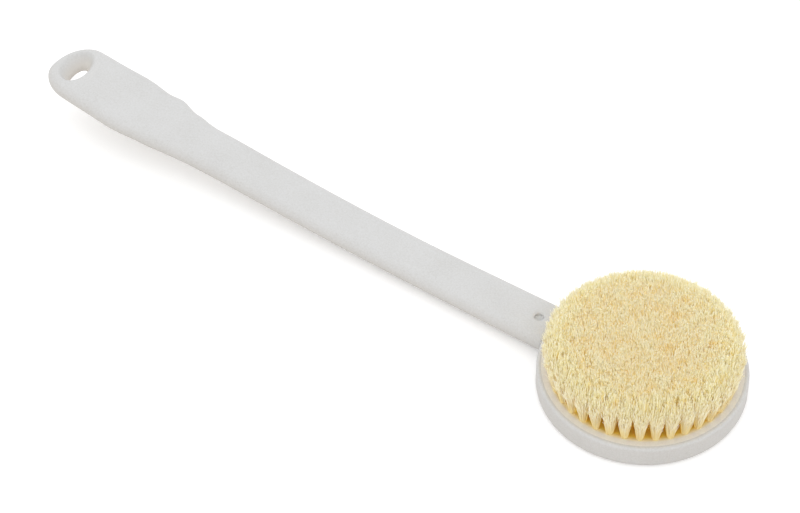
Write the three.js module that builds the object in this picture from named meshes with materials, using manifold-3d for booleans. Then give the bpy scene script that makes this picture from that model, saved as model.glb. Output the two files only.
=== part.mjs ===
// A long-handled bath brush lying on its back, bristles up. Millimetres, +Z up.
// The origin is the centre of the head's flat back, and the handle runs along -X.
import * as THREE from 'three';
import { mergeGeometries, mergeVertices } from 'three/addons/utils/BufferGeometryUtils.js';
import Module from 'manifold-3d';

const wasm = await Module();
wasm.setup();

// Clearance between pieces that fit together
const FIT_GAP = 0.3;

// Head: a round shell that holds the tuft plate
const HEAD_DIAMETER = 96;
const HEAD_THICKNESS = 12;
const FACE_EDGE_RADIUS = 1.5;
const RIM_LAND = 0.3;
const BACK_EDGE_RADIUS = 2.5;
const BACK_WALL = 3;
const HEAD_SIDES = 72;
const FACE_SIDES = 48;

// Tufts: rings of drilled holes, each with a bundle of bristles folded over an anchor
const EDGE_MARGIN = 6.8;
const RING_SPACING = 6.85;
const TUFT_SPACING = 6.75;
const FIRST_TUFT_ANGLE = -0.065;
const TUFT_HOLE_DIAMETER = 3.2;
const TUFT_HOLE_FLOOR = 1.2;
const TUFT_HOLE_SIDES = 6;
const TUFT_ROOT_SIDES = 4;
const FACE_SLICE = 1.5;
const ANCHOR_HEIGHT = 1.6;
const ANCHOR_THICKNESS = 0.4;

// Bristles: each tuft as three strands that fan out and fatten, trimmed to a dome
const STRANDS_PER_TUFT = 3;
const STRAND_SIDES = 3;
const STRAND_ROOT_OFFSET = 0.85;
const STRAND_ROOT_RADIUS = 0.6;
const TIP_SPREAD = 0.31;
const TIP_FULLNESS = 0.21;
const BRISTLE_LENGTH = 23;
const TRIM_DROP = 10.3;
const TRIM_POWER = 6;
const OUTER_LEAN = 3.2;

// Handle: a flat bar with round edges, level at the neck and curving up to the grip
const HANDLE_REACH = 330.4;
const HANDLE_THICKNESS = 9.6;
const HANDLE_RISE = 0.9;
const NECK_HALF_WIDTH = 12.5;
const WAIST_HALF_WIDTH = 11.7;
const WAIST_SHARE = 0.5;
const GRIP_HALF_WIDTH = 16.6;
const END_LENGTH = 15;
const END_FULLNESS = 0.56;
const END_SKEW = -5;
const BEND_START_REACH = 97;
const BEND_RADIUS = 1415;
const BEND_ANGLE = 0.105;
const EDGE_RINGS = 4;
const STEPS_PER_STATION = 6;
const END_STEPS = 9;

// Grip stations: distance from the handle's end, half width of the finger edge and of the palm edge
const GRIP_STATIONS = [
  [116, 11.9, 12.0],
  [98, 11.9, 12.4],
  [84.5, 11.7, 13.2],
  [76.5, 13.0, 14.1],
  [72.5, 13.2, 14.6],
  [63.5, 16.0, 15.9],
  [56.5, 15.3, 16.5],
  [44.5, 16.7, 17.8],
  [29.5, 16.5, 17.2],
];

// Hang slot: across the handle's end, straight at half thickness and flaring out to both faces
const HANG_SLOT_LENGTH = 15;
const HANG_SLOT_WIDTH = 6.2;
const HANG_SLOT_FLARE = 2.6;
const HANG_SLOT_WAIST_HEIGHT = 4.4;
const HANG_SLOT_FROM_END = 12.8;
const HANG_SLOT_ROUND_STEPS = 12;

// Joint of head and handle: a tongue in a socket, held by a stud that snaps into the neck's hole
const TONGUE_LENGTH = 36;
const TONGUE_TIP_RADIUS = 4;
const TONGUE_TIP_STEPS = 5;
const SOCKET_SIDE_WALL = 3.8;
const SOCKET_FACE_WALL = 2.1;
const NECK_HOLE_DIAMETER = 4.4;
const NECK_HOLE_FROM_RIM = 7.2;
const NECK_HOLE_SIDES = 20;
const STUD_RECESS = 1.4;
const STUD_RAMP = 0.5;

const headRadius = HEAD_DIAMETER / 2;
const rimWall = FACE_EDGE_RADIUS + RIM_LAND;
const recessRadius = headRadius - rimWall;
const plateRadius = recessRadius - FIT_GAP;
const plateBottom = BACK_WALL + FIT_GAP;
const sliceBottom = HEAD_THICKNESS - FACE_SLICE;
const sliceMiddle = HEAD_THICKNESS - FACE_SLICE / 2;

const outerRingRadius = headRadius - EDGE_MARGIN;
const ringCount = Math.floor(outerRingRadius / RING_SPACING) + 1;
const holeBottom = plateBottom + TUFT_HOLE_FLOOR;
const tuftRootRadius = TUFT_HOLE_DIAMETER / 2 - FIT_GAP;
const anchorBottom = holeBottom + FIT_GAP;
const tuftRootBottom = anchorBottom + ANCHOR_HEIGHT + FIT_GAP;
const tuftPitch = Math.min(TUFT_SPACING, RING_SPACING);

const edgeRadius = HANDLE_THICKNESS / 2;
const handleCentre = HEAD_THICKNESS / 2 + HANDLE_RISE;
const handleTop = handleCentre + edgeRadius;
const socketWidth = 2 * (NECK_HALF_WIDTH - SOCKET_SIDE_WALL);
const socketHeight = HANDLE_THICKNESS - 2 * SOCKET_FACE_WALL;
const tongueWidth = socketWidth - 2 * FIT_GAP;
const tongueThickness = socketHeight - 2 * FIT_GAP;
const neckHoleX = -(headRadius + NECK_HOLE_FROM_RIM);

const whitePlastic = new THREE.MeshStandardMaterial({ color: '#dadad8', roughness: 0.6, metalness: 0 });
const bristle = new THREE.MeshStandardMaterial({ color: '#eedeb2', roughness: 0.55, metalness: 0 });
const anchorMetal = new THREE.MeshStandardMaterial({ color: '#b9a36a', roughness: 0.4, metalness: 1 });

// Solids for joining and cutting, and back to three.js geometry
function toSolid(geometry) {
  const bare = geometry.clone();
  bare.deleteAttribute('normal');
  bare.deleteAttribute('uv');
  const merged = mergeVertices(bare, 1e-4);
  const vertProperties = new Float32Array(merged.attributes.position.array);
  const triVerts = new Uint32Array(merged.index.array);
  return new wasm.Manifold(new wasm.Mesh({ numProp: 3, vertProperties, triVerts }));
}

function toGeometry(solid) {
  const mesh = solid.getMesh();
  const geometry = new THREE.BufferGeometry();
  geometry.setAttribute('position', new THREE.BufferAttribute(mesh.vertProperties, mesh.numProp));
  geometry.setIndex(new THREE.BufferAttribute(mesh.triVerts, 1));
  geometry.computeVertexNormals();
  return geometry;
}

function toMesh(name, solid, material) {
  const mesh = new THREE.Mesh(toGeometry(solid), material);
  mesh.name = name;
  return mesh;
}

// Shapes that don't touch each other, as one solid
function gather(geometries) {
  const bare = geometries.map((geometry) => {
    const plain = geometry.index ? geometry.toNonIndexed() : geometry.clone();
    plain.deleteAttribute('normal');
    plain.deleteAttribute('uv');
    return plain;
  });
  return toSolid(mergeGeometries(bare));
}

// A closed skin over rings of equal count: walls between rings, and a lid on the first and last ring.
// A ring's points i and last - i lie opposite each other, so each lid is a ladder between its two sides.
function loft(rings) {
  const count = rings[0].length;
  const positions = rings.flat().flatMap((point) => [point.x, point.y, point.z]);
  const index = [];
  for (let ring = 0; ring + 1 < rings.length; ring++) {
    for (let i = 0; i < count; i++) {
      const a = ring * count + i;
      const b = ring * count + ((i + 1) % count);
      index.push(a, b, b + count, a, b + count, a + count);
    }
  }
  const top = (rings.length - 1) * count;
  for (let i = 0, j = count - 1; i + 1 < j; i++, j--) {
    index.push(top + i, top + i + 1, top + j, i, j, i + 1);
    if (i + 1 < j - 1) {
      index.push(top + i + 1, top + j - 1, top + j, i + 1, j, j - 1);
    }
  }
  const geometry = new THREE.BufferGeometry();
  geometry.setAttribute('position', new THREE.Float32BufferAttribute(positions, 3));
  geometry.setIndex(index);
  return geometry;
}

// An upright prism between two heights
function upright(radius, bottom, top, sides) {
  const geometry = new THREE.CylinderGeometry(radius, radius, top - bottom, sides);
  geometry.rotateX(Math.PI / 2);
  geometry.translate(0, 0, (bottom + top) / 2);
  return geometry;
}

function block(sizeX, sizeY, sizeZ, centre) {
  const geometry = new THREE.BoxGeometry(sizeX, sizeY, sizeZ);
  geometry.translate(centre.x, centre.y, centre.z);
  return geometry;
}

// A solid of revolution about +Z from a profile of (radius, height) points
function turned(points, sides) {
  const geometry = new THREE.LatheGeometry(points, sides);
  geometry.rotateX(Math.PI / 2);
  return geometry;
}

// Height of the handle's centre line: level, then an arc, then straight on
function handleHeight(x) {
  const along = -x - BEND_START_REACH;
  const arc = BEND_RADIUS * BEND_ANGLE;
  if (along <= 0) {
    return handleCentre;
  }
  if (along <= arc) {
    return handleCentre + (along * along) / (2 * BEND_RADIUS);
  }
  return handleCentre + (arc * BEND_ANGLE) / 2 + (along - arc) * BEND_ANGLE;
}

// The handle's half widths along one edge, from inside the head to where the end begins to round
function edgeStations(column) {
  const grip = GRIP_STATIONS.map((row) => ({ x: row[0] - HANDLE_REACH, halfWidth: row[column] }));
  const waistX = -headRadius + WAIST_SHARE * (grip[0].x + headRadius);
  return [
    { x: 2 * NECK_HALF_WIDTH - headRadius, halfWidth: NECK_HALF_WIDTH },
    { x: -headRadius, halfWidth: NECK_HALF_WIDTH },
    { x: waistX, halfWidth: WAIST_HALF_WIDTH },
    ...grip,
    { x: END_LENGTH - HANDLE_REACH, halfWidth: GRIP_HALF_WIDTH },
  ];
}

// One edge of the handle in plan, from inside the head to the furthest point of the handle's end,
// which lies off the middle, toward the palm edge
function handleEdge(column, side) {
  const stations = edgeStations(column).map(({ x, halfWidth }) => new THREE.Vector3(x, side * halfWidth, 0));
  const flank = new THREE.CatmullRomCurve3(stations, false, 'centripetal');
  const corner = stations[stations.length - 1];
  const end = new THREE.CubicBezierCurve3(
    corner,
    new THREE.Vector3(corner.x - END_LENGTH * END_FULLNESS, corner.y, 0),
    new THREE.Vector3(-HANDLE_REACH, END_SKEW + (corner.y - END_SKEW) * END_FULLNESS, 0),
    new THREE.Vector3(-HANDLE_REACH, END_SKEW, 0),
  );
  const points = [];
  const addPoint = (curve, share) => {
    const along = curve.getTangent(share);
    const inward = new THREE.Vector3(-along.y, along.x, 0).multiplyScalar(side);
    points.push({ at: curve.getPoint(share), inward });
  };
  const flankSteps = STEPS_PER_STATION * (stations.length - 1);
  for (let i = 0; i < flankSteps; i++) {
    addPoint(flank, i / flankSteps);
  }
  for (let i = 0; i < END_STEPS; i++) {
    addPoint(end, (i + 0.5) / END_STEPS);
  }
  return points;
}

// Levels of a half-round edge through the handle's thickness: height, and how far the edge is drawn in
function edgeLevels() {
  const levels = [];
  for (let k = -EDGE_RINGS; k <= EDGE_RINGS; k++) {
    const angle = (k / EDGE_RINGS) * (Math.PI / 2);
    levels.push({ height: edgeRadius * Math.sin(angle), inset: edgeRadius * (1 - Math.cos(angle)) });
  }
  return levels;
}

// The handle's bar: its plan outline at each level of the round edge, bent to the centre line
function handleBar() {
  const outline = [...handleEdge(1, 1), ...handleEdge(2, -1).reverse()];
  const rings = edgeLevels().map(({ height, inset }) => outline.map(({ at, inward }) => {
    const point = at.clone().addScaledVector(inward, inset);
    return point.setZ(handleHeight(point.x) + height);
  }));
  return toSolid(loft(rings));
}

// The hang slot's cutter: straight through the middle, with a flared rim at each face
function hangSlotCutter() {
  const centreX = HANG_SLOT_FROM_END - HANDLE_REACH;
  const straight = (HANG_SLOT_LENGTH - HANG_SLOT_WIDTH) / 2;
  const slotRing = ({ height, inset }) => {
    const reach = HANG_SLOT_WIDTH / 2 + inset;
    const ring = [];
    for (let i = 0; i < 2 * HANG_SLOT_ROUND_STEPS; i++) {
      const angle = ((i + 0.5) / HANG_SLOT_ROUND_STEPS) * Math.PI;
      const x = centreX + reach * Math.cos(angle);
      const y = reach * Math.sin(angle) + straight * Math.sign(Math.sin(angle));
      ring.push(new THREE.Vector3(x, y, handleHeight(x) + height));
    }
    return ring;
  };
  const levels = [
    { height: -HANDLE_THICKNESS, inset: HANG_SLOT_FLARE },
    { height: -edgeRadius, inset: HANG_SLOT_FLARE },
    { height: -HANG_SLOT_WAIST_HEIGHT / 2, inset: 0 },
    { height: HANG_SLOT_WAIST_HEIGHT / 2, inset: 0 },
    { height: edgeRadius, inset: HANG_SLOT_FLARE },
    { height: HANDLE_THICKNESS, inset: HANG_SLOT_FLARE },
  ];
  return toSolid(loft(levels.map(slotRing)));
}

// The space that the head takes, and the tongue's socket and the stud's hole in the neck
function neckCutter() {
  const above = handleTop + HANDLE_THICKNESS;
  const headSpace = upright(headRadius + FIT_GAP, -HANDLE_THICKNESS, above, HEAD_SIDES);
  const socketEnd = -(headRadius + TONGUE_LENGTH + FIT_GAP);
  const socketStart = -headRadius / 2;
  const socketMiddle = new THREE.Vector3((socketEnd + socketStart) / 2, 0, handleCentre);
  const socket = block(socketStart - socketEnd, socketWidth, socketHeight, socketMiddle);
  const hole = upright(NECK_HOLE_DIAMETER / 2, handleCentre, above, NECK_HOLE_SIDES);
  hole.translate(neckHoleX, 0, 0);
  return toSolid(headSpace).add(toSolid(socket)).add(toSolid(hole));
}

function handle() {
  return handleBar().subtract(hangSlotCutter()).subtract(neckCutter());
}

// The tongue's bar, from inside the rim to a tip with round corners
function tongueBar() {
  const root = -(headRadius + recessRadius) / 2;
  const tipCentre = TONGUE_TIP_RADIUS - headRadius - TONGUE_LENGTH;
  const half = tongueWidth / 2;
  const cornerY = half - TONGUE_TIP_RADIUS;
  const plan = new THREE.Shape();
  plan.moveTo(root, -half);
  plan.lineTo(root, half);
  plan.lineTo(tipCentre, half);
  plan.absarc(tipCentre, cornerY, TONGUE_TIP_RADIUS, Math.PI / 2, Math.PI);
  plan.absarc(tipCentre, -cornerY, TONGUE_TIP_RADIUS, Math.PI, 1.5 * Math.PI);
  const options = { depth: tongueThickness, bevelEnabled: false, curveSegments: TONGUE_TIP_STEPS };
  const bar = new THREE.ExtrudeGeometry(plan, options);
  bar.translate(0, 0, handleCentre - tongueThickness / 2);
  return toSolid(bar);
}

// The snap stud on the tongue, ramped on the side that enters the socket first
function snapStud() {
  const radius = NECK_HOLE_DIAMETER / 2 - FIT_GAP;
  const top = handleTop - STUD_RECESS;
  const post = upright(radius, handleCentre, top, NECK_HOLE_SIDES);
  post.translate(neckHoleX, 0, 0);
  const ramp = new THREE.Shape();
  ramp.moveTo(neckHoleX, top);
  ramp.lineTo(neckHoleX - 2 * radius, top);
  ramp.lineTo(neckHoleX - 2 * radius, top - 2 * STUD_RAMP);
  const wedge = new THREE.ExtrudeGeometry(ramp, { depth: 4 * radius, bevelEnabled: false });
  wedge.rotateX(Math.PI / 2);
  wedge.translate(0, 2 * radius, 0);
  return toSolid(post).subtract(toSolid(wedge));
}

// The head's shell: a turned tray with rounded outer edges, and the tongue on its side
function headShell() {
  const faceArcZ = HEAD_THICKNESS - FACE_EDGE_RADIUS;
  const profile = new THREE.Path();
  profile.moveTo(0, 0);
  profile.lineTo(headRadius - BACK_EDGE_RADIUS, 0);
  profile.absarc(headRadius - BACK_EDGE_RADIUS, BACK_EDGE_RADIUS, BACK_EDGE_RADIUS, -Math.PI / 2, 0);
  profile.lineTo(headRadius, faceArcZ);
  profile.absarc(headRadius - FACE_EDGE_RADIUS, faceArcZ, FACE_EDGE_RADIUS, 0, Math.PI / 2);
  profile.lineTo(recessRadius, HEAD_THICKNESS);
  profile.lineTo(recessRadius, BACK_WALL);
  profile.lineTo(0, BACK_WALL);
  return toSolid(turned(profile.getPoints(2), HEAD_SIDES)).add(tongueBar()).add(snapStud());
}

// A flat ring, or a disc where the inner radius is 0
function ringSlice(inner, outer, bottom, top) {
  const points = [
    new THREE.Vector2(inner, bottom),
    new THREE.Vector2(outer, bottom),
    new THREE.Vector2(outer, top),
    new THREE.Vector2(inner, top),
  ];
  if (inner > 0) {
    points.push(points[0].clone());
  }
  return toSolid(turned(points, FACE_SIDES));
}

// Where a ring's tufts stand: as many as fit at the tuft spacing, and one in the middle
function tuftPlaces(ring) {
  const radius = outerRingRadius - ring * RING_SPACING;
  if (2 * radius <= TUFT_SPACING) {
    return [{ angle: FIRST_TUFT_ANGLE, radius: 0 }];
  }
  const count = Math.floor(Math.PI / Math.asin(TUFT_SPACING / (2 * radius)));
  const places = [];
  for (let i = 0; i < count; i++) {
    const turn = (i + 0.5 * (ring % 2)) / count;
    places.push({ angle: FIRST_TUFT_ANGLE + 2 * Math.PI * turn, radius });
  }
  return places;
}

function standAt(geometry, place) {
  geometry.rotateZ(place.angle);
  geometry.translate(place.radius * Math.cos(place.angle), place.radius * Math.sin(place.angle), 0);
  return geometry;
}

// The plate under the face, drilled with a blind hole for each tuft
function tuftPlate(rings) {
  const disc = ringSlice(0, plateRadius, plateBottom, sliceBottom - FIT_GAP);
  const holes = rings.flat().map((place) => {
    return standAt(upright(TUFT_HOLE_DIAMETER / 2, holeBottom, HEAD_THICKNESS, TUFT_HOLE_SIDES), place);
  });
  return disc.subtract(gather(holes));
}

// Height of the trimmed bristle tips at a radius: nearly flat, falling away at the edge
function trimHeight(radius) {
  return HEAD_THICKNESS + BRISTLE_LENGTH - TRIM_DROP * (radius / headRadius) ** TRIM_POWER;
}

// The strands of one tuft, fanning out from the root, with the whole tuft leaning outward
function tuftStrands(place) {
  const lean = OUTER_LEAN * (place.radius / outerRingRadius) ** 2;
  const strands = [];
  for (let k = 0; k < STRANDS_PER_TUFT; k++) {
    const turn = (2 * Math.PI * k) / STRANDS_PER_TUFT;
    const section = (shift, offset, radius, height) => {
      const centre = new THREE.Vector3(shift + offset * Math.cos(turn), offset * Math.sin(turn), height);
      const corners = [];
      for (let side = 0; side < STRAND_SIDES; side++) {
        const angle = turn + (2 * Math.PI * side) / STRAND_SIDES;
        corners.push(new THREE.Vector3(radius * Math.cos(angle), radius * Math.sin(angle), 0).add(centre));
      }
      return corners;
    };
    const tipOffset = TIP_SPREAD * tuftPitch;
    const tipX = place.radius + lean + tipOffset * Math.cos(turn);
    const tipHeight = trimHeight(Math.hypot(tipX, tipOffset * Math.sin(turn)));
    const root = section(0, STRAND_ROOT_OFFSET, STRAND_ROOT_RADIUS, sliceMiddle);
    const tip = section(lean, tipOffset, TIP_FULLNESS * tuftPitch, tipHeight);
    strands.push(standAt(loft([root, tip]), place));
  }
  return strands;
}

// Tufts of neighbouring rings, fused to their slice of the face, with their folded roots below it
function tufts(rings, inner, outer) {
  const places = rings.flat();
  const slice = ringSlice(inner, outer, sliceBottom, HEAD_THICKNESS);
  const roots = places.map((place) => {
    return standAt(upright(tuftRootRadius, tuftRootBottom, sliceMiddle, TUFT_ROOT_SIDES), place);
  });
  return slice.add(gather(roots)).add(gather(places.flatMap(tuftStrands)));
}

// One anchor: a strip on edge across the bottom of its hole
function anchor(place) {
  const length = 2 * tuftRootRadius * Math.cos(Math.PI / TUFT_HOLE_SIDES);
  const middle = new THREE.Vector3(0, 0, anchorBottom + ANCHOR_HEIGHT / 2);
  return toSolid(standAt(block(ANCHOR_THICKNESS, length, ANCHOR_HEIGHT, middle), place));
}

const brush = new THREE.Group();
brush.add(toMesh('handle', handle(), whitePlastic));
brush.add(toMesh('head_shell', headShell(), whitePlastic));

const tuftRings = [];
for (let ring = 0; ring < ringCount; ring++) {
  tuftRings.push(tuftPlaces(ring));
}
brush.add(toMesh('tuft_plate', tuftPlate(tuftRings), whitePlastic));

const tuftGroups = [
  { name: 'tufts_outer_ring', first: 0, end: 1 },
  { name: 'tufts_second_ring', first: 1, end: 2 },
  { name: 'tufts_middle_rings', first: 2, end: 4 },
  { name: 'tufts_centre', first: 4, end: ringCount },
];
for (const { name, first, end } of tuftGroups) {
  const border = (ring) => outerRingRadius - (ring - 0.5) * RING_SPACING;
  const outer = first === 0 ? plateRadius : border(first) - FIT_GAP / 2;
  const inner = end === ringCount ? 0 : border(end) + FIT_GAP / 2;
  brush.add(toMesh(name, tufts(tuftRings.slice(first, end), inner, outer), bristle));
}

tuftRings[0].forEach((place, i) => {
  brush.add(toMesh(`anchor_${String(i + 1).padStart(2, '0')}`, anchor(place), anchorMetal));
});

export default brush;
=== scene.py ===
"""A long-handled bath brush lying on its back: white plastic, with a round field of cream bristles."""

import math

import bmesh
import bpy
import numpy as np
from mathutils import Matrix, Vector


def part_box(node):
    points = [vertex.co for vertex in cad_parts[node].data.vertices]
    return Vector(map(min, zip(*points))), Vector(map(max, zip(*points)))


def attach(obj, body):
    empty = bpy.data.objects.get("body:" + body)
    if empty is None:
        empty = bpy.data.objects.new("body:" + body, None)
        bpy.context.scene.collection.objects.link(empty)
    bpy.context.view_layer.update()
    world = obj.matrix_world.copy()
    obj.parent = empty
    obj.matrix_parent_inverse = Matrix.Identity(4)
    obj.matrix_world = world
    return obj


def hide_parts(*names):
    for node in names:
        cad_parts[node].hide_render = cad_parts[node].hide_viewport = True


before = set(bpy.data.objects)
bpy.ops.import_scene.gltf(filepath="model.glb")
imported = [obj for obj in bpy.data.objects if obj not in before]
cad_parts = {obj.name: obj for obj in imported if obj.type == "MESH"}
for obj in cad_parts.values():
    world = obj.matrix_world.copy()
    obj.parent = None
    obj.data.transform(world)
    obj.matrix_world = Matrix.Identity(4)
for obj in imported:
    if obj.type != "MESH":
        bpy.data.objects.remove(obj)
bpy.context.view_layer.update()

MM = 0.001
BODY = "root"
WHITE = (1, 1, 1, 1)

# Camera of the photograph
CAMERA_PLACE = (0.4937, -0.9285, 1.2312)
CAMERA_AIM = (-0.1345, 0.0041, 0.0)
CAMERA_LENS_MM = 160.6
CAMERA_REACH = 10

# Light: an even sky and one broad lamp, with enough bounces to fill the depth of the bristles
SKY_STRENGTH = 1.15
LAMP_PLACE = (0.2, -0.5, 1.6)
LAMP_SIZE = 1.6
LAMP_POWER = 1
DIFFUSE_BOUNCES = 40
MOST_BOUNCES = 48

# Floor: neutral white where it is looked at, and a little warm in the light that it throws back
FLOOR_SIZE = 12
FLOOR_NEUTRAL = (0.80, 0.80, 0.80)
FLOOR_WARM = (0.76, 0.70, 0.63)
FLOOR_GLOW = 0.3

# Plastic: its colours along the grain, and the grain's scale, relief and gloss
WHITE_STOPS = [
    (0.35, (0.54, 0.535, 0.525)),
    (0.65, (0.595, 0.595, 0.59)),
    (0.95, (0.635, 0.637, 0.64)),
]
# The plate's colours are lighter and warmer than the handle's: painted light, for the light that reaches it
# through the bristles
PLATE_PAINTED_LIGHT_STOPS = [
    (0.35, (0.69, 0.67, 0.63)),
    (0.65, (0.74, 0.725, 0.69)),
    (0.95, (0.77, 0.76, 0.735)),
]
GRAIN_SCALE = 1300.0
GRAIN_DETAIL = 2.0
GRAIN_ROUGHNESS = 0.6
CLOUD_SCALE = 60.0
CLOUD_DETAIL = 2.0
CLOUD_SHARE = 0.35
GRAIN_RELIEF = 0.22
GRAIN_DEPTH = 0.12 * MM
PLASTIC_ROUGHNESS = (0.46, 0.62)
PLASTIC_SPECULAR = 0.35

# Painted light through the plastic and the bristles: the wall of the hang slot is painted lighter, and the
# plate is painted golden as far out as the bristles stand over it, fading to its own colour between these
# two radii
SLOT_PAINTED_LIGHT_COLOUR = (0.74, 0.72, 0.69)
PAINTED_GOLDEN_LIGHT = (0.985, 0.76, 0.12)
PAINTED_GOLDEN_LIGHT_EDGE = (40.6 * MM, 43.6 * MM)

# Brass of the anchors: its colours along the streaks, and the streaks' scale and gloss
ANCHOR_STOPS = [
    (0.3, (0.52, 0.40, 0.17)),
    (0.7, (0.62, 0.50, 0.24)),
]
STREAK_SCALE = 2500.0
STREAK_DETAIL = 3.0
ANCHOR_ROUGHNESS = (0.3, 0.5)

# Bristle colour by height, painted light: golden deep inside, for light that has passed through bristle, and
# pale toward the tips and on the outside of the field, where light reaches.
# A filament turns golden between these two tones, up to the most of its colour that may be golden.
INNER_PAINTED_LIGHT_STOPS = [
    (0.0, (0.985, 0.78, 0.10)),
    (0.53, (0.97, 0.83, 0.29)),
    (0.85, (0.975, 0.945, 0.63)),
    (1.0, (0.984, 0.97, 0.85)),
]
OUTER_PAINTED_LIGHT_STOPS = [
    (0.0, (0.955, 0.83, 0.43)),
    (0.4, (0.945, 0.85, 0.51)),
    (1.0, (0.98, 0.965, 0.83)),
]
GOLDEN_FILAMENT = (0.98, 0.815, 0.21)
GOLDEN_TONES = (0.45, 0.85)
GOLDEN_MOST = 0.9
BRISTLE_ROUGHNESS = (0.42, 0.58)
BRISTLE_SPECULAR = 0.2

# Head, from the frame, with the roundings of its edges and of the seam round the plate. A ring at a share of
# the way out on the back, and steps up the side, keep its faces short.
plate_low, plate_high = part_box("tuft_plate")
_, shell_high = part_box("head_shell")
face_height = shell_high.z
head_radius = shell_high.x
plate_radius = plate_high.x
FACE_EDGE_RADIUS = 1.5 * MM
BACK_EDGE_RADIUS = 2.5 * MM
SEAM = 0.01 * MM
SEAM_ROUND = 0.035 * MM
HEAD_SIDES = 192
ARC_STEPS = 10
BACK_RING = 0.5
SIDE_STEPS = 4
CUT_CLEARANCE = 0.01 * MM

# Joint of head and handle: the tongue's stud fills the neck's hole, and its top is a shallow dish
TONGUE_TOP = 9.3 * MM
TONGUE_ROOT = 0.5 * MM
NECK_TOP = 11.7 * MM
NECK_HOLE_FROM_RIM = 7.2 * MM
STUD_RADIUS = 2.18 * MM
STUD_ROOT = 1.3 * MM
STUD_EDGE_DEPTH = 1.3 * MM
STUD_DISH_DEPTH = 0.8 * MM
STUD_SIDES = 40

# Handle: fine even faces over the CAD shape, closed against the head's side
HANDLE_FACE = 0.6 * MM
HANDLE_SMOOTHING = 10
HANDLE_SMOOTHING_STEP = 0.5
NECK_END_DEPTH = 1.0 * MM
NECK_OVERLAP = 0.1 * MM

# Hang slot in the CAD: its place, half of its straight middle, and its rim's radius
CAD_SLOT_CENTRE = -317.6 * MM
CAD_SLOT_STRAIGHT = 4.4 * MM
CAD_SLOT_RIM_RADIUS = 6.1 * MM

# Hang slot as it looks: ovals as (height, half width along the handle, half length across it). Its wall is
# painted lighter, for light through the plastic, from the face down to this depth, but not where it faces
# down by more than this tilt.
SLOT_CENTRE = -318.5 * MM
SLOT_OVALS = [
    (16.0 * MM, 2.6 * MM, 5.8 * MM),
    (20.0 * MM, 3.1 * MM, 7.0 * MM),
    (23.5 * MM, 4.4 * MM, 8.8 * MM),
    (25.6 * MM, 5.6 * MM, 9.8 * MM),
    (27.2 * MM, 7.0 * MM, 10.8 * MM),
    (29.5 * MM, 9.4 * MM, 12.6 * MM),
]
SLOT_SIDES = 64
SLOT_FACE_HEIGHT = 26.6 * MM
SLOT_PAINTED_LIGHT_DEPTH = 5 * MM
SLOT_PAINTED_LIGHT_TILT = 0.5

# Tufts: rings of holes in the plate, every second ring turned by a share of a tuft
EDGE_MARGIN = 6.8 * MM
RING_SPACING = 6.85 * MM
TUFT_SPACING = 6.75 * MM
FIRST_TUFT_ANGLE = -0.065
RING_STAGGER = 0.5
TUFT_HOLE_RADIUS = 1.6 * MM
TUFT_HOLE_SIDES = 20
TUFT_HOLE_BOTTOM = 4.5 * MM
DRILL_RISE = 1 * MM

# Filaments: three-sided rods, each turned a little against the one before it, that start in their hole
FILAMENT_SIDES = 3
TWIST_STEP = 0.7
ROOT_RADIUS = 0.13 * MM
TIP_RADIUS = 0.12 * MM
INNER_TIP_RADIUS = 0.105 * MM
ROOT_DEPTH = 1 * MM

# Fan of a tuft: its reach at the roots and at the tips, tighter side to side in the outer ring. What
# stands past the field's side is squeezed back to it. In the outer ring a tuft's inward half opens sooner,
# and its two halves blend into each other about its middle.
ROOT_SPREAD = 1.35 * MM
TIP_SPREAD = 4.8 * MM
OUTER_SIDE_SPREAD = 3.5 * MM
OUTER_LEAN = 0.4 * MM
SIDE_RADIUS = 45.3 * MM
SIDE_SQUEEZE = 0.25
FAN_POWER = 1.0
INNER_HALF_FAN = 0.6
TUFT_MIDDLE = 0.5
OUTER_HALF_BLEND = 1.2

# Spread of filaments over a tuft: a sunflower spiral, jittered, with its tips drawn to clumps
SUNFLOWER_HALF_TURNS = 3 - math.sqrt(5)
SPREAD_JITTER = 0.06
CLUMPS_PER_TUFT = 45
CLUMP_REACH = 0.9
OUTER_CLUMPING = 0.2

# Trim of the tips: flat, with a soft chamfer, and uneven. Golden clumps are shorter.
BRISTLE_LENGTH = 23 * MM
CHAMFER_RADIUS = 37.2 * MM
CHAMFER_SLOPE = 1.1
CHAMFER_ROUND = 2 * MM
TIP_UNEVENNESS = 0.45 * MM
OUTER_UNEVENNESS = 1.2 * MM
CLUMP_DEPTH = 1.1 * MM

# Tone of a filament: the clump's share of it, what is left of it on the outside of the field, and what is
# lost of it near the edge. The loss on the outside and near the edge is painted light: filaments are paler
# where light reaches them.
CLUMP_TONE = 0.7
OUTSIDE_TONE = 0.3
EDGE_CALM = 0.2

# Stations along a filament, as (share of its length, sway there), and how much less the outer ring sways
OUTER_STATIONS = [(0.65, 0.3 * MM), (1.0, 0.8 * MM)]
SECOND_STATIONS = [(0.75, 0.5 * MM), (1.0, 1.1 * MM)]
INNER_STATIONS = [(1.0, 1.5 * MM)]
OUTER_CALM = 0.35

# Tuft nodes: first ring, ring after the last, filaments in a tuft, their stations and their tip radius
TUFT_GROUPS = {
    "tufts_outer_ring": (0, 1, 375, OUTER_STATIONS, TIP_RADIUS),
    "tufts_second_ring": (1, 2, 455, SECOND_STATIONS, INNER_TIP_RADIUS),
    "tufts_middle_rings": (2, 4, 560, INNER_STATIONS, INNER_TIP_RADIUS),
    "tufts_centre": (4, None, 560, INNER_STATIONS, INNER_TIP_RADIUS),
}
SEED = 11

# UV cell of a filament: its margin, and the height of its ends' triangles in stations
UV_MARGIN = 0.06
UV_END_HEIGHT = 0.3


def add_object(name, data, material=None):
    """A new object in the scene, with the material where one is given."""
    piece = bpy.data.objects.new(name, data)
    bpy.context.scene.collection.objects.link(piece)
    if material:
        piece.data.materials.clear()
        piece.data.materials.append(material)
    return piece


def finish_piece(piece, slot, *nodes):
    """The piece moves with the brush and stands for these CAD nodes. The slot is not used."""
    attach(piece, BODY)
    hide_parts(*nodes)


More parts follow.
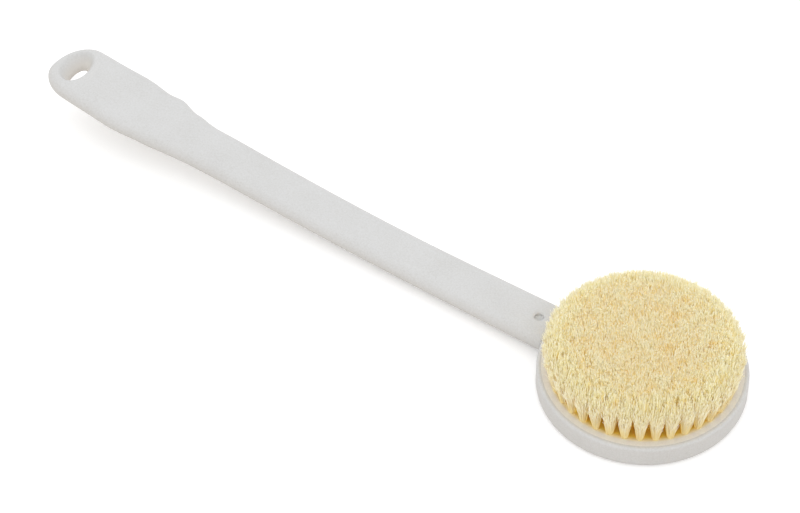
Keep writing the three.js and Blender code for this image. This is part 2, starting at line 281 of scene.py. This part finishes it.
def apply_modifiers(piece):
    """The piece's mesh as its modifiers shape it, with none of them left."""
    depsgraph = bpy.context.evaluated_depsgraph_get()
    shaped = bpy.data.meshes.new_from_object(piece.evaluated_get(depsgraph))
    piece.modifiers.clear()
    piece.data = shaped


def combine(piece, operation, mesh):
    """Join another mesh to the piece or cut it out, as one closed body."""
    other = add_object("other", mesh)
    step = piece.modifiers.new("combine", "BOOLEAN")
    step.operation = operation
    step.solver = "EXACT"
    step.object = other
    apply_modifiers(piece)
    bpy.data.objects.remove(other)


def shade_smooth(mesh):
    """Every face of the mesh shaded smooth."""
    mesh.polygons.foreach_set("use_smooth", np.ones(len(mesh.polygons), bool))


def vertex_places(mesh):
    """The places of the mesh's vertices, one row each."""
    places = np.empty(len(mesh.vertices) * 3)
    mesh.vertices.foreach_get("co", places)
    return places.reshape(-1, 3)


def add_values(mesh, name, values):
    """A value for each vertex, for the material to read."""
    mesh.attributes.new(name, "FLOAT", "POINT").data.foreach_set("value", values)


def mesh_of(shape, name):
    """The finished mesh of a shape under construction, with its faces looking outward."""
    bmesh.ops.recalc_face_normals(shape, faces=shape.faces)
    mesh = bpy.data.meshes.new(name)
    shape.to_mesh(mesh)
    shape.free()
    return mesh


def join_rings(shape, rings):
    """Faces between each two rings of vertices. A ring may be one vertex, repeated."""
    for lower, upper in zip(rings, rings[1:]):
        for i in range(len(lower)):
            after = (i + 1) % len(lower)
            corners = [lower[i], lower[after], upper[after], upper[i]]
            shape.faces.new(list(dict.fromkeys(corners)))


def turned(profile, sides):
    """A mesh of revolution about +Z. A profile's point at radius 0 becomes one vertex."""
    shape = bmesh.new()
    rings = []
    for radius, height in profile:
        if radius == 0:
            rings.append([shape.verts.new((0, 0, height))] * sides)
            continue
        ring = []
        for i in range(sides):
            angle = 2 * math.pi * i / sides
            ring.append(shape.verts.new((radius * math.cos(angle), radius * math.sin(angle), height)))
        rings.append(ring)
    join_rings(shape, rings)
    return mesh_of(shape, "turned")


def arc(centre_radius, centre_height, radius, start, end):
    """Points of a profile's arc, as (radius, height), from one angle to another in degrees."""
    angles = [math.radians(start + (end - start) * i / ARC_STEPS) for i in range(ARC_STEPS + 1)]
    return [(centre_radius + radius * math.cos(a), centre_height + radius * math.sin(a)) for a in angles]


def steps_between(start, end, count):
    """Points of a profile's straight run, without its two ends."""
    start = np.array(start)
    run = np.array(end) - start
    return [tuple(start + run * i / count) for i in range(1, count)]


def new_material(name):
    """A new material, with its nodes, its links and its shader."""
    material = bpy.data.materials.new(name)
    material.use_nodes = True
    nodes, links = material.node_tree.nodes, material.node_tree.links
    return material, nodes, links, nodes["Principled BSDF"]


def object_place(nodes):
    """The place on the object, in metres."""
    return nodes.new("ShaderNodeTexCoord").outputs["Object"]


def attribute_value(nodes, name):
    """A value that the mesh holds for each vertex."""
    attribute = nodes.new("ShaderNodeAttribute")
    attribute.attribute_name = name
    return attribute.outputs["Fac"]


def link_noise(nodes, links, coordinates, scale, detail, roughness=0.5):
    """Noise at these coordinates, from 0 to 1."""
    noise = nodes.new("ShaderNodeTexNoise")
    noise.inputs["Scale"].default_value = scale
    noise.inputs["Detail"].default_value = detail
    noise.inputs["Roughness"].default_value = roughness
    links.new(coordinates, noise.inputs["Vector"])
    return noise.outputs["Fac"]


def map_range(nodes, links, value, low, high, start=0.0, end=1.0):
    """A value that runs from low to high while the given one runs from start to end."""
    span = nodes.new("ShaderNodeMapRange")
    span.inputs["From Min"].default_value = start
    span.inputs["From Max"].default_value = end
    span.inputs["To Min"].default_value = low
    span.inputs["To Max"].default_value = high
    links.new(value, span.inputs["Value"])
    return span.outputs["Result"]


def scaled_sum(nodes, links, value, factor, addend):
    """The value times the factor, plus the addend. The node's three inputs share one name."""
    total = nodes.new("ShaderNodeMath")
    total.operation = "MULTIPLY_ADD"
    scaled, scale, added = total.inputs
    links.new(value, scaled)
    scale.default_value = factor
    links.new(addend, added)
    return total.outputs["Value"]


def distance_from_axis(nodes, links):
    """How far a point of the object is from its upright axis."""
    level = nodes.new("ShaderNodeVectorMath")
    level.operation = "MULTIPLY"
    place, kept = level.inputs[:2]
    links.new(object_place(nodes), place)
    kept.default_value = (1, 1, 0)
    reach = nodes.new("ShaderNodeVectorMath")
    reach.operation = "LENGTH"
    links.new(level.outputs["Vector"], reach.inputs["Vector"])
    return reach.outputs["Value"]


def colour_ramp(nodes, links, value, stops):
    """The colour at a value between stops, each a place and its colour."""
    ramp = nodes.new("ShaderNodeValToRGB")
    # New stops start halfway between the ramp's own two, and then all are placed in order
    while len(ramp.color_ramp.elements) < len(stops):
        ramp.color_ramp.elements.new(0.5)
    for element, (place, colour) in zip(ramp.color_ramp.elements, stops):
        element.position = place
        element.color = (*colour, 1.0)
    links.new(value, ramp.inputs["Fac"])
    return ramp.outputs["Color"]


def mix_colours(nodes, links, factor, first, second):
    """A blend of two colours, each a node's output or plain (red, green, blue)."""
    mix = nodes.new("ShaderNodeMix")
    mix.data_type = "RGBA"
    sockets = {socket.identifier: socket for socket in mix.inputs}
    links.new(factor, sockets["Factor_Float"])
    for name, colour in (("A_Color", first), ("B_Color", second)):
        if isinstance(colour, tuple):
            sockets[name].default_value = (*colour, 1.0)
        else:
            links.new(colour, sockets[name])
    return next(socket for socket in mix.outputs if socket.identifier == "Result_Color")


def add_grain(nodes, links, shader, stops):
    """The fine sandy grain of moulded plastic, in gloss and in relief. Gives back its speckled colour."""
    place = object_place(nodes)
    speckle = link_noise(nodes, links, place, GRAIN_SCALE, GRAIN_DETAIL, GRAIN_ROUGHNESS)
    cloud = link_noise(nodes, links, place, CLOUD_SCALE, CLOUD_DETAIL)
    links.new(map_range(nodes, links, speckle, *PLASTIC_ROUGHNESS), shader.inputs["Roughness"])
    bump = nodes.new("ShaderNodeBump")
    bump.inputs["Strength"].default_value = GRAIN_RELIEF
    bump.inputs["Distance"].default_value = GRAIN_DEPTH
    links.new(speckle, bump.inputs["Height"])
    links.new(bump.outputs["Normal"], shader.inputs["Normal"])
    shader.inputs["Specular IOR Level"].default_value = PLASTIC_SPECULAR
    return colour_ramp(nodes, links, scaled_sum(nodes, links, cloud, CLOUD_SHARE, speckle), stops)


def white_plastic():
    """Handle and head: white plastic, painted lighter on the hang slot's wall, for light that comes through
    the plastic there.
    """
    material, nodes, links, shader = new_material("white_plastic")
    colour = add_grain(nodes, links, shader, WHITE_STOPS)
    # The slot's wall is painted lighter, for light that comes through the plastic
    slot_painted_light = attribute_value(nodes, "slot_painted_light")
    lighter = mix_colours(nodes, links, slot_painted_light, colour, SLOT_PAINTED_LIGHT_COLOUR)
    links.new(lighter, shader.inputs["Base Color"])
    return material


def plate_plastic():
    """The plate: a lighter, warmer white than the handle, and painted golden between the tufts, both painted
    light for the light that comes through the bristles.
    """
    material, nodes, links, shader = new_material("plate_plastic")
    colour = add_grain(nodes, links, shader, PLATE_PAINTED_LIGHT_STOPS)
    # Painted golden light between the tufts, for light that has come through the bristles
    painted_light_share = map_range(nodes, links, distance_from_axis(nodes, links), 1.0, 0.0, *PAINTED_GOLDEN_LIGHT_EDGE)
    golden = mix_colours(nodes, links, painted_light_share, colour, PAINTED_GOLDEN_LIGHT)
    links.new(golden, shader.inputs["Base Color"])
    return material


def bristle_material():
    """Cream filament, painted golden in the depth of the field, for light that has passed through bristle,
    and painted pale where light reaches it, with a golden tone by clump at random.
    """
    material, nodes, links, shader = new_material("bristle")
    height = attribute_value(nodes, "height")
    tone = attribute_value(nodes, "tone")
    # Painted light along each filament: golden at the root, pale toward the tip and on the outside
    inner = colour_ramp(nodes, links, height, INNER_PAINTED_LIGHT_STOPS)
    outer = colour_ramp(nodes, links, height, OUTER_PAINTED_LIGHT_STOPS)
    painted_light_gradient = mix_colours(nodes, links, attribute_value(nodes, "outside"), inner, outer)
    golden = map_range(nodes, links, tone, 0.0, GOLDEN_MOST, *GOLDEN_TONES)
    colour = mix_colours(nodes, links, golden, painted_light_gradient, GOLDEN_FILAMENT)
    links.new(colour, shader.inputs["Base Color"])
    links.new(map_range(nodes, links, tone, *BRISTLE_ROUGHNESS), shader.inputs["Roughness"])
    shader.inputs["Specular IOR Level"].default_value = BRISTLE_SPECULAR
    return material


def anchor_material():
    """Drawn brass strip with a fine streaked sheen."""
    material, nodes, links, shader = new_material("anchor_metal")
    streak = link_noise(nodes, links, object_place(nodes), STREAK_SCALE, STREAK_DETAIL)
    links.new(colour_ramp(nodes, links, streak, ANCHOR_STOPS), shader.inputs["Base Color"])
    links.new(map_range(nodes, links, streak, *ANCHOR_ROUGHNESS), shader.inputs["Roughness"])
    shader.inputs["Metallic"].default_value = 1.0
    return material


def head_shell_mesh():
    """The head's tray, turned, with soft outer edges and a hairline seam round the plate."""
    recess = plate_radius + SEAM
    floor = plate_low.z - SEAM
    back_flat = head_radius - BACK_EDGE_RADIUS
    face_flat = head_radius - FACE_EDGE_RADIUS
    side_top = face_height - FACE_EDGE_RADIUS
    profile = [(0, 0), (back_flat * BACK_RING, 0)]
    profile += arc(back_flat, BACK_EDGE_RADIUS, BACK_EDGE_RADIUS, -90, 0)
    profile += steps_between(profile[-1], (head_radius, side_top), SIDE_STEPS)
    profile += arc(face_flat, side_top, FACE_EDGE_RADIUS, 0, 90)
    profile += arc(recess + SEAM_ROUND, face_height - SEAM_ROUND, SEAM_ROUND, 90, 180)
    profile += [(recess, floor), (0, floor)]
    return turned(profile, HEAD_SIDES)


def tongue_mesh():
    """The tongue, cut from the CAD shell at the tray's side and below the stud, and rooted in the wall."""
    shape = bmesh.new()
    shape.from_mesh(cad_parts["head_shell"].data)
    bmesh.ops.remove_doubles(shape, verts=shape.verts, dist=CUT_CLEARANCE)
    cut = -head_radius - CUT_CLEARANCE
    side = ((cut, 0, 0), (1, 0, 0))
    top = ((0, 0, TONGUE_TOP - CUT_CLEARANCE), (0, 0, 1))
    for place, normal in (side, top):
        everything = shape.verts[:] + shape.edges[:] + shape.faces[:]
        bmesh.ops.bisect_plane(shape, geom=everything, plane_co=place, plane_no=normal, clear_outer=True)
        bmesh.ops.holes_fill(shape, edges=shape.edges)
    for vertex in shape.verts:
        if vertex.co.x > cut - CUT_CLEARANCE:
            vertex.co.x = -head_radius + TONGUE_ROOT
    return mesh_of(shape, "tongue")


def stud_mesh():
    """The tongue's stud, turned, with its dished top a little below the neck's face."""
    edge = NECK_TOP - STUD_EDGE_DEPTH
    foot = TONGUE_TOP - STUD_ROOT
    profile = [(0, foot), (STUD_RADIUS, foot)]
    for i in range(ARC_STEPS + 1):
        share = 1 - i / ARC_STEPS
        profile.append((STUD_RADIUS * share, edge - STUD_DISH_DEPTH * (1 - share ** 2)))
    mesh = turned(profile, STUD_SIDES)
    mesh.transform(Matrix.Translation((-head_radius - NECK_HOLE_FROM_RIM, 0, 0)))
    return mesh


def make_head(material):
    """The head as one body: tray, tongue and stud."""
    shell = head_shell_mesh()
    stud = stud_mesh()
    shade_smooth(shell)
    shade_smooth(stud)
    head = add_object("head_body", shell, material)
    combine(head, "UNION", tongue_mesh())
    combine(head, "UNION", stud)
    finish_piece(head, "white_plastic", "head_shell")


def in_cad_slot(vertex):
    """Whether a vertex of the CAD handle is in its slot or on the slot's rim."""
    along = vertex.co.x - CAD_SLOT_CENTRE
    across = max(abs(vertex.co.y) - CAD_SLOT_STRAIGHT, 0)
    return math.hypot(along, across) < CAD_SLOT_RIM_RADIUS


def handle_without_slot():
    """The handle's CAD shape with the walls of its slot taken out and both faces closed."""
    shape = bmesh.new()
    shape.from_mesh(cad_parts["handle"].data)
    bmesh.ops.remove_doubles(shape, verts=shape.verts, dist=CUT_CLEARANCE)
    walls = [face for face in shape.faces if all(in_cad_slot(vertex) for vertex in face.verts)]
    bmesh.ops.delete(shape, geom=walls, context="FACES")
    closed = bmesh.ops.holes_fill(shape, edges=[edge for edge in shape.edges if edge.is_boundary])
    bmesh.ops.triangulate(shape, faces=closed["faces"])
    return mesh_of(shape, "handle")


def slot_mesh():
    """The slot's hollow: ovals that widen upward, from below the handle to above it."""
    shape = bmesh.new()
    rings = []
    for height, half_width, half_length in SLOT_OVALS:
        ring = []
        for i in range(SLOT_SIDES):
            angle = 2 * math.pi * i / SLOT_SIDES
            along = SLOT_CENTRE + half_width * math.cos(angle)
            ring.append(shape.verts.new((along, half_length * math.sin(angle), height)))
        rings.append(ring)
    join_rings(shape, rings)
    shape.faces.new(rings[0])
    shape.faces.new(rings[-1])
    return mesh_of(shape, "slot")


def close_neck(mesh):
    """The neck's end brought a hair into the head's round side, so that no dark gap shows between them."""
    places = vertex_places(mesh)
    reach = np.hypot(places[:, 0], places[:, 1])
    at_end = reach < head_radius + NECK_END_DEPTH
    places[at_end, :2] *= ((head_radius - NECK_OVERLAP) / reach[at_end])[:, None]
    mesh.vertices.foreach_set("co", places.ravel())
    mesh.update()


def paint_slot_light(mesh):
    """A value that rises down the slot's wall, for painted light that stands in for light coming through the
    plastic around it.
    """
    places = vertex_places(mesh)
    normals = np.empty(len(mesh.vertices) * 3)
    mesh.vertex_normals.foreach_get("vector", normals)
    facing_up = normals.reshape(-1, 3)[:, 2]
    _, half_width, half_length = SLOT_OVALS[-1]
    within = np.hypot((places[:, 0] - SLOT_CENTRE) / half_width, places[:, 1] / half_length) < 1
    depth = np.clip((SLOT_FACE_HEIGHT - places[:, 2]) / SLOT_PAINTED_LIGHT_DEPTH, 0, 1)
    wall = np.clip(1 + facing_up / SLOT_PAINTED_LIGHT_TILT, 0, 1)
    add_values(mesh, "slot_painted_light", within * depth * wall)


def make_handle(material):
    """The handle's CAD shape, in fine even faces, with its slot's own shape and its edges softened."""
    handle = add_object("handle_body", handle_without_slot(), material)
    combine(handle, "DIFFERENCE", slot_mesh())
    remesh = handle.modifiers.new("even_faces", "REMESH")
    remesh.mode = "VOXEL"
    remesh.voxel_size = HANDLE_FACE
    remesh.use_smooth_shade = True
    soften = handle.modifiers.new("soft_edges", "SMOOTH")
    soften.factor = HANDLE_SMOOTHING_STEP
    soften.iterations = HANDLE_SMOOTHING
    apply_modifiers(handle)
    close_neck(handle.data)
    shade_smooth(handle.data)
    paint_slot_light(handle.data)
    finish_piece(handle, "white_plastic", "handle")


def tuft_rings():
    """Each ring's tufts as (angle, radius): as many as fit at the tuft spacing, and one in the middle."""
    outer = head_radius - EDGE_MARGIN
    rings = []
    for ring in range(int(outer / RING_SPACING) + 1):
        radius = outer - ring * RING_SPACING
        if 2 * radius <= TUFT_SPACING:
            rings.append([(FIRST_TUFT_ANGLE, 0.0)])
            continue
        count = int(math.pi / math.asin(TUFT_SPACING / (2 * radius)))
        turns = [(i + RING_STAGGER * (ring % 2)) / count for i in range(count)]
        rings.append([(FIRST_TUFT_ANGLE + 2 * math.pi * turn, radius) for turn in turns])
    return rings


def drill_mesh(rings):
    """A cylinder in the place of each tuft's hole, from the hole's bottom to above the plate's face."""
    shape = bmesh.new()
    depth = face_height + DRILL_RISE - TUFT_HOLE_BOTTOM
    for angle, radius in [place for ring in rings for place in ring]:
        made = bmesh.ops.create_cone(
            shape, cap_ends=True, segments=TUFT_HOLE_SIDES,
            radius1=TUFT_HOLE_RADIUS, radius2=TUFT_HOLE_RADIUS, depth=depth)
        middle = Vector((radius * math.cos(angle), radius * math.sin(angle), TUFT_HOLE_BOTTOM + depth / 2))
        bmesh.ops.translate(shape, verts=made["verts"], vec=middle)
    return mesh_of(shape, "tuft_holes")


def make_plate(rings, material):
    """The plate that fills the tray up to the face, with a hole for each tuft."""
    profile = [(0, plate_low.z), (plate_radius, plate_low.z)]
    profile += arc(plate_radius - SEAM_ROUND, face_height - SEAM_ROUND, SEAM_ROUND, 0, 90)
    profile += [(0, face_height)]
    plate = add_object("tuft_plate_face", turned(profile, HEAD_SIDES), material)
    combine(plate, "DIFFERENCE", drill_mesh(rings))
    finish_piece(plate, "white_plastic", "tuft_plate")


def trim_height(radius):
    """Height of the trimmed tips: flat, with a broad soft chamfer round the edge."""
    past = radius - CHAMFER_RADIUS
    drop = CHAMFER_SLOPE * (past + np.hypot(past, CHAMFER_ROUND)) / 2
    return face_height + BRISTLE_LENGTH - drop


def disc_points(random, count, radius):
    """Points spread evenly over a disc by a sunflower spiral, then jittered."""
    # Each point is in the middle of its own share of the disc
    steps = np.arange(count) + 0.5
    reach = radius * np.sqrt(steps / count)
    angle = steps * math.pi * SUNFLOWER_HALF_TURNS + random.uniform(0, 2 * math.pi)
    points = np.stack([reach * np.cos(angle), reach * np.sin(angle)], axis=1)
    return points + random.normal(0, SPREAD_JITTER * radius, points.shape)


def press_side(tips):
    """Tips beyond the side of the field drawn most of the way back to it, so that the side stands upright.
    Those within a millimetre of the axis are drawn toward it, which keeps the division safe."""
    reach = np.hypot(tips[:, 0], tips[:, 1])
    drawn = np.where(reach > SIDE_RADIUS, SIDE_RADIUS + (reach - SIDE_RADIUS) * SIDE_SQUEEZE, reach)
    return tips * (drawn / np.maximum(reach, MM))[:, None]


def gather_tuft(random, count, outness):
    """A tuft's filaments over a disc of radius 1, as spread at their roots and as gathered in clumps at
    their tips, and the clump of each."""
    spread = disc_points(random, count, 1.0)
    clumps = disc_points(random, CLUMPS_PER_TUFT, CLUMP_REACH)
    own = np.argmin(np.linalg.norm(spread[:, None] - clumps[None], axis=2), axis=1)
    gathered = spread + (clumps[own] - spread) * OUTER_CLUMPING * outness
    return spread, gathered, own


def fan_tips(gathered, radius, outward, outness):
    """Where a tuft's tips stand, seen from above. Outer tufts are narrower, and gaps show between them."""
    sideways = np.array([-outward[1], outward[0]])
    side_spread = TIP_SPREAD + (OUTER_SIDE_SPREAD - TIP_SPREAD) * outness ** 2
    out_steps = radius + OUTER_LEAN * outness + TIP_SPREAD * gathered @ outward
    side_steps = side_spread * gathered @ sideways
    return press_side(out_steps[:, None] * outward + side_steps[:, None] * sideways)


def filament_paths(random, angle, radius, count, path_stations):
    """One tuft's filaments fanning out of their hole: centre lines (filament, station, xyz), how far each
    stands on the outside of the field, and how golden it is, both from 0 to 1."""
    # All three rise from 0 in the middle of the field to 1 in the outer ring, each later than the last
    outness = (radius / (head_radius - EDGE_MARGIN)) ** 2
    near_edge = outness ** 2
    at_edge = outness ** 4

    outward = np.array([math.cos(angle), math.sin(angle)])
    spread, gathered, clump = gather_tuft(random, count, outness)
    roots = outward * radius + spread * ROOT_SPREAD
    tips = fan_tips(gathered, radius, outward, outness)

    clump_tone = random.uniform(0, 1, CLUMPS_PER_TUFT)[clump]
    shorter = np.abs(random.normal(0, TIP_UNEVENNESS, count)) + CLUMP_DEPTH * clump_tone ** 2
    tones = CLUMP_TONE * clump_tone + (1 - CLUMP_TONE) * random.uniform(0, 1, count)
    uneven = random.normal(0, OUTER_UNEVENNESS * near_edge, count)
    trimmed = trim_height(np.hypot(tips[:, 0], tips[:, 1])) + uneven
    tip_height = np.minimum(trimmed, face_height + BRISTLE_LENGTH) - shorter

    # The half of an outer tuft that looks inward opens sooner than the half that looks outward
    outer_half = np.clip(TUFT_MIDDLE + OUTER_HALF_BLEND * gathered @ outward, 0, 1)
    fan_power = (FAN_POWER + INNER_HALF_FAN * (1 - outer_half) * near_edge)[:, None]
    stations = [np.column_stack([roots, np.full(count, face_height - ROOT_DEPTH)])]
    for share, sway in path_stations:
        reach = 1 - (1 - share) ** fan_power
        drift = random.normal(0, sway * (1 - OUTER_CALM * outness), (count, 2))
        height = face_height + (tip_height - face_height) * share
        stations.append(np.column_stack([roots + (tips - roots) * reach + drift, height]))

    outside = outer_half * at_edge
    # Filaments on the outside of the field and near its edge lose golden tone: painted light, paler where
    # light reaches them
    tones *= (1 - (1 - OUTSIDE_TONE) * outside) * (1 - EDGE_CALM * near_edge)
    return np.stack(stations, axis=1), outside, tones


def filament_faces(count, stations):
    """The corners of every filament's faces: its sides from the root up, then its two ends."""
    around = np.arange(FILAMENT_SIDES)
    ahead = (around + 1) % FILAMENT_SIDES
    sides = []
    for station in range(stations - 1):
        low, high = station * FILAMENT_SIDES, (station + 1) * FILAMENT_SIDES
        sides.append(np.stack([low + around, low + ahead, high + ahead, high + around], axis=1))
    sides = np.concatenate(sides)
    top = (stations - 1) * FILAMENT_SIDES
    faces = []
    for filament in range(count):
        base = filament * stations * FILAMENT_SIDES
        faces += (sides + base).tolist()
        faces.append((around[::-1] + base).tolist())
        faces.append((around + top + base).tolist())
    return faces


def filament_mesh(name, paths, shares, tip_radius, outside, tones):
    """All filaments of a node as tapering rods, with their values for the material and their UV map."""
    count, stations = paths.shape[:2]
    turn = 2 * np.pi * np.arange(FILAMENT_SIDES) / FILAMENT_SIDES
    twist = TWIST_STEP * np.arange(count)[:, None] + turn[None, :]
    share = np.array(shares)
    radius = ROOT_RADIUS + (tip_radius - ROOT_RADIUS) * share
    offset = np.stack([np.cos(twist), np.sin(twist), np.zeros_like(twist)], axis=-1)
    points = paths[:, :, None, :] + radius[None, :, None, None] * offset[:, None, :, :]

    mesh = bpy.data.meshes.new(name)
    mesh.from_pydata(points.reshape(-1, 3), [], filament_faces(count, stations))
    per_filament = stations * FILAMENT_SIDES
    add_values(mesh, "height", np.tile(np.repeat(share, FILAMENT_SIDES), count))
    add_values(mesh, "outside", np.repeat(outside, per_filament))
    add_values(mesh, "tone", np.repeat(tones, per_filament))
    add_filament_map(mesh, count, stations)
    return mesh


def add_filament_map(mesh, count, stations):
    """A UV map with one cell a filament: its sides across the cell, its length up it, and its two ends as
    triangles on the cell's lower and upper edge."""
    columns = math.ceil(math.sqrt(count * stations / FILAMENT_SIDES))
    rows = math.ceil(count / columns)
    last = stations - 1
    corners = []
    for station in range(last):
        for side in range(FILAMENT_SIDES):
            corners += [(side, station), (side + 1, station), (side + 1, station + 1), (side, station + 1)]
    corners += [(2, 0), (1, 0), (1.5, UV_END_HEIGHT)]
    corners += [(0, last), (1, last), (0.5, last - UV_END_HEIGHT)]
    cell = np.array(corners, float) / [FILAMENT_SIDES, last]
    cell = UV_MARGIN + cell * (1 - 2 * UV_MARGIN)
    index = np.arange(count)
    origin = np.stack([index % columns, index // columns], axis=1)
    places = (origin[:, None, :] + cell[None, :, :]) / [columns, rows]
    layer = mesh.uv_layers.new(name="OFBake")
    layer.data.foreach_set("uv", places.astype(np.float32).ravel())


def make_bristles(rings, material):
    """One piece of filaments for each tuft node, with the seed fixed so that each run is the same."""
    random = np.random.default_rng(SEED)
    for node, (first, end, count, path_stations, tip_radius) in TUFT_GROUPS.items():
        places = [place for ring in rings[first:end] for place in ring]
        tufts = [filament_paths(random, angle, radius, count, path_stations) for angle, radius in places]
        paths, outside, tones = [np.concatenate(values) for values in zip(*tufts)]
        shares = [0.0] + [share for share, sway in path_stations]
        name = node.replace("tufts", "bristles")
        piece = add_object(name, filament_mesh(name, paths, shares, tip_radius, outside, tones), material)
        finish_piece(piece, "bristle", node)


def paint_anchors(material):
    """The anchors keep their CAD shape and get their metal."""
    for name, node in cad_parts.items():
        if name.startswith("anchor_"):
            node.data.materials.clear()
            node.data.materials.append(material)


def add_camera():
    """The camera at the photograph's viewing angle."""
    camera = bpy.data.cameras.new("camera")
    camera.lens = CAMERA_LENS_MM
    camera.clip_end = CAMERA_REACH
    holder = add_object("camera", camera)
    holder.location = CAMERA_PLACE
    aim = Vector(CAMERA_AIM) - Vector(CAMERA_PLACE)
    holder.rotation_euler = aim.to_track_quat("-Z", "Y").to_euler()
    bpy.context.scene.camera = holder


def seen_directly(nodes, links):
    """1 where the camera, a reflection or a clear surface looks straight at it, otherwise 0."""
    path = nodes.new("ShaderNodeLightPath")
    total = path.outputs["Is Camera Ray"]
    for name in ("Is Glossy Ray", "Is Transmission Ray"):
        larger = nodes.new("ShaderNodeMath")
        larger.operation = "MAXIMUM"
        first, second = larger.inputs[:2]
        links.new(total, first)
        links.new(path.outputs[name], second)
        total = larger.outputs["Value"]
    return total


def add_world():
    """Even soft light all round, and plain white where the camera looks past the brush."""
    world = bpy.data.worlds.new("studio")
    bpy.context.scene.world = world
    world.use_nodes = True
    nodes, links = world.node_tree.nodes, world.node_tree.links
    level = map_range(nodes, links, seen_directly(nodes, links), SKY_STRENGTH, 1.0)
    links.new(level, nodes["Background"].inputs["Strength"])
    nodes["Background"].inputs["Color"].default_value = WHITE


def add_floor():
    """A pale floor that shows white where it is lit, and keeps the brush's shadow."""
    bpy.ops.mesh.primitive_plane_add(size=FLOOR_SIZE)
    floor = bpy.context.object
    floor.name = "floor"
    material, nodes, links, shader = new_material("floor")
    seen = seen_directly(nodes, links)
    links.new(mix_colours(nodes, links, seen, FLOOR_WARM, FLOOR_NEUTRAL), shader.inputs["Base Color"])
    shader.inputs["Roughness"].default_value = 1.0
    shader.inputs["Specular IOR Level"].default_value = 0.0
    glow = map_range(nodes, links, seen, 0.0, FLOOR_GLOW)
    shader.inputs["Emission Color"].default_value = WHITE
    links.new(glow, shader.inputs["Emission Strength"])
    floor.data.materials.append(material)


def add_lamp():
    """A broad soft lamp above the near side, turned toward the head."""
    lamp = bpy.data.lights.new("key", "AREA")
    lamp.shape = "DISK"
    lamp.size = LAMP_SIZE
    lamp.energy = LAMP_POWER
    holder = add_object("key", lamp)
    holder.location = LAMP_PLACE
    holder.rotation_euler = (-Vector(LAMP_PLACE)).to_track_quat("-Z", "Y").to_euler()


def main():
    """The brush, its camera, floor and light."""
    plastic = white_plastic()
    make_handle(plastic)
    make_head(plastic)
    rings = tuft_rings()
    make_plate(rings, plate_plastic())
    make_bristles(rings, bristle_material())
    paint_anchors(anchor_material())

    add_camera()
    add_floor()
    add_world()
    add_lamp()
    bpy.context.scene.view_settings.view_transform = "Standard"
    bpy.context.scene.cycles.diffuse_bounces = DIFFUSE_BOUNCES
    bpy.context.scene.cycles.max_bounces = MOST_BOUNCES


main()
